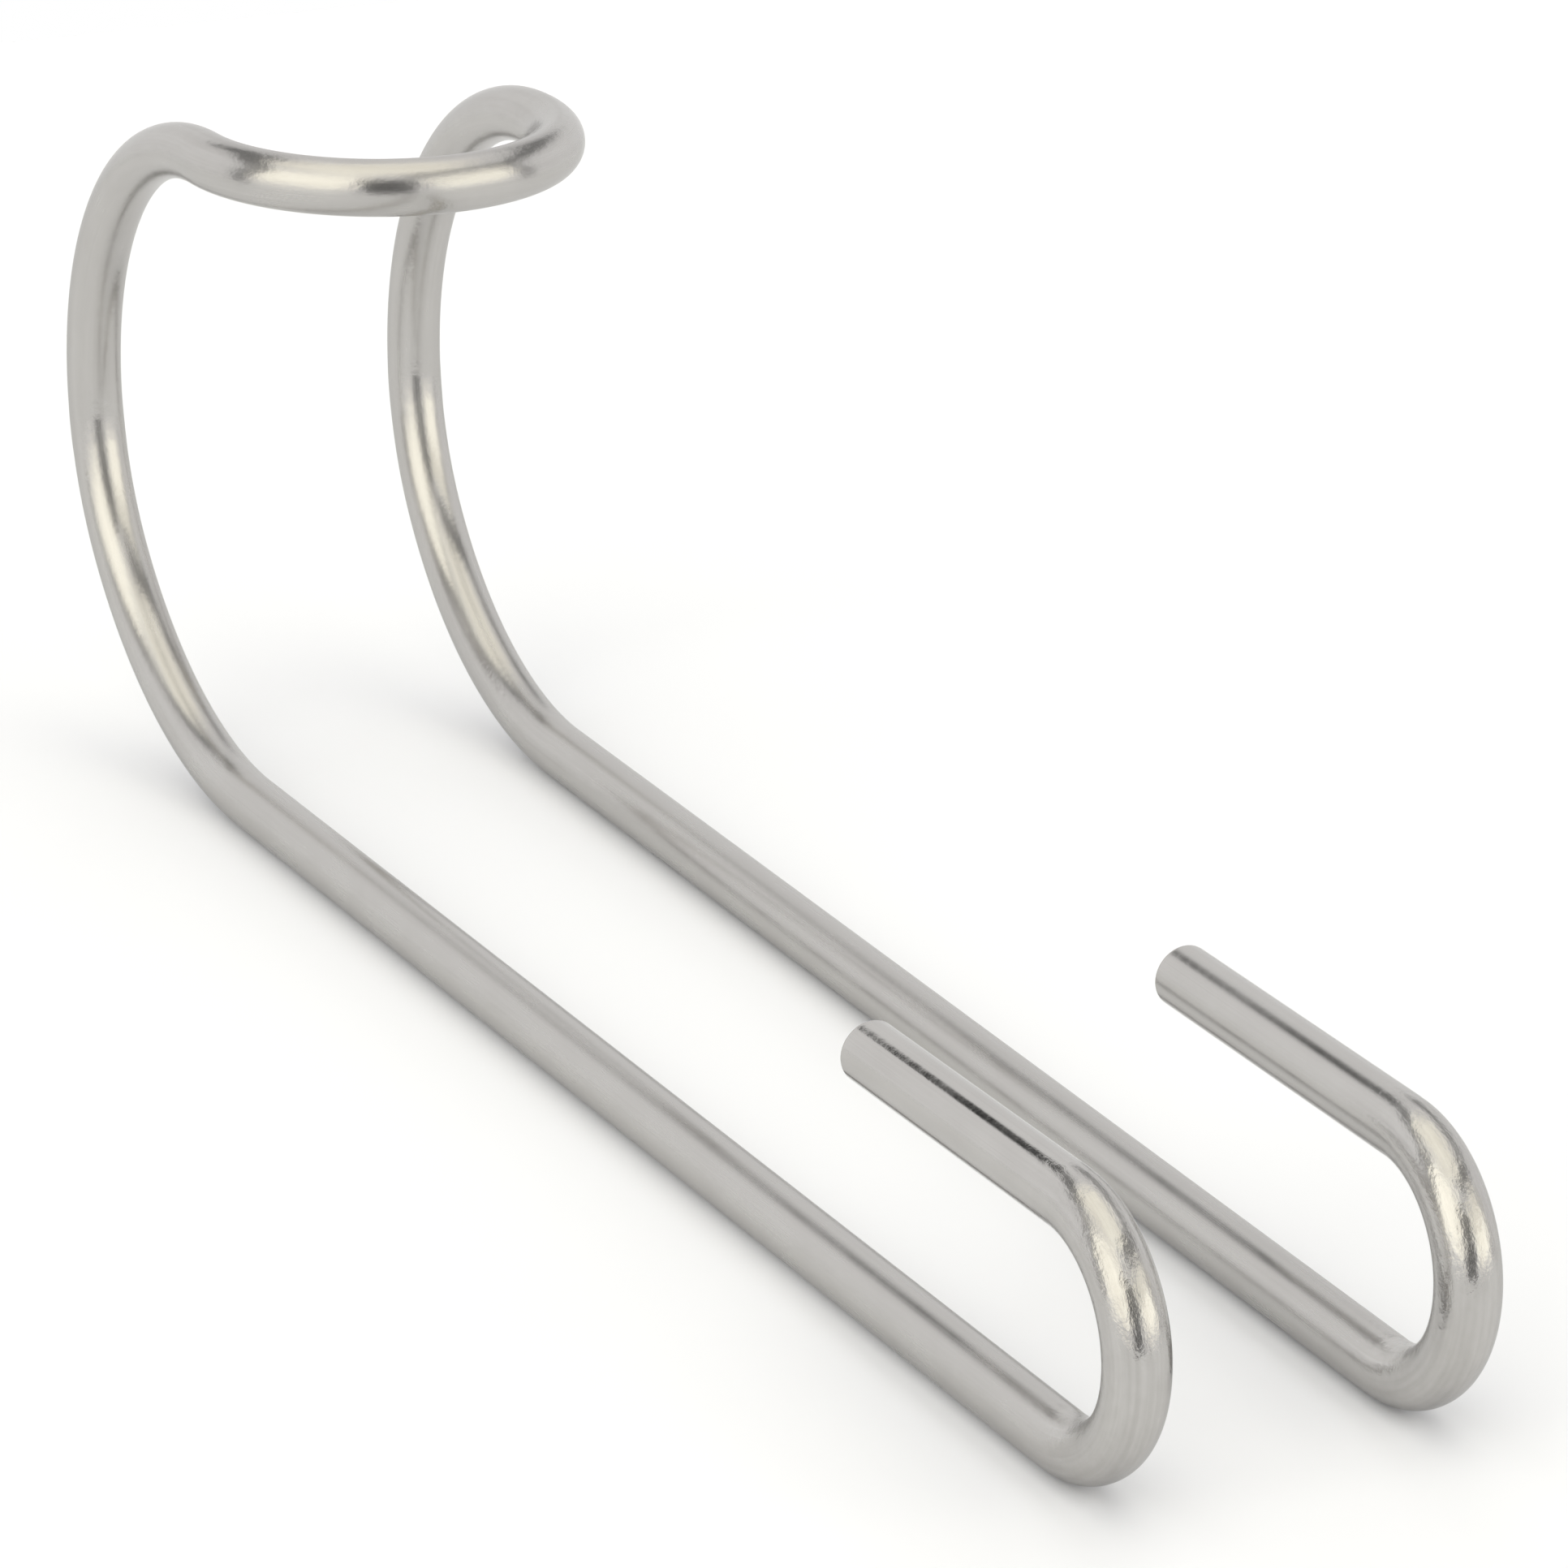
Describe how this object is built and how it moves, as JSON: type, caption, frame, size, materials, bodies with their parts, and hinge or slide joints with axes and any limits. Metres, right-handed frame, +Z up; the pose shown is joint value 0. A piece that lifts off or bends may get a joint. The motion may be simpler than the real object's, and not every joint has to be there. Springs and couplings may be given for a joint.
{
  "type": "meat hook",
  "caption": "Stainless wire meat hook: wire bent into paired J-hooks, long parallel shanks and arches that hang over a rail, joined by a U-shaped yoke.",
  "frame": {"origin": "bottom centre of the bounding box, on the surface that the two shanks lie on", "axes": "+X from the left leg to the right leg, +Y from the J-hooks to the arches along the part, +Z up from the shanks to the U"},
  "size_m": [0.036, 0.1804, 0.0597],
  "materials": {
    "wire": "satin drawn wire, slightly mottled at the bends"
  },
  "bodies": {
    "root": {"left_hook_tip": "wire", "left_hook_return": "wire", "left_hook_bend": "wire", "left_shank": "wire", "left_neck_bend": "wire", "left_arch": "wire", "right_hook_tip": "wire", "right_hook_return": "wire", "right_hook_bend": "wire", "right_shank": "wire", "right_neck_bend": "wire", "right_arch": "wire", "yoke": "wire"}
  },
  "joints": []
}
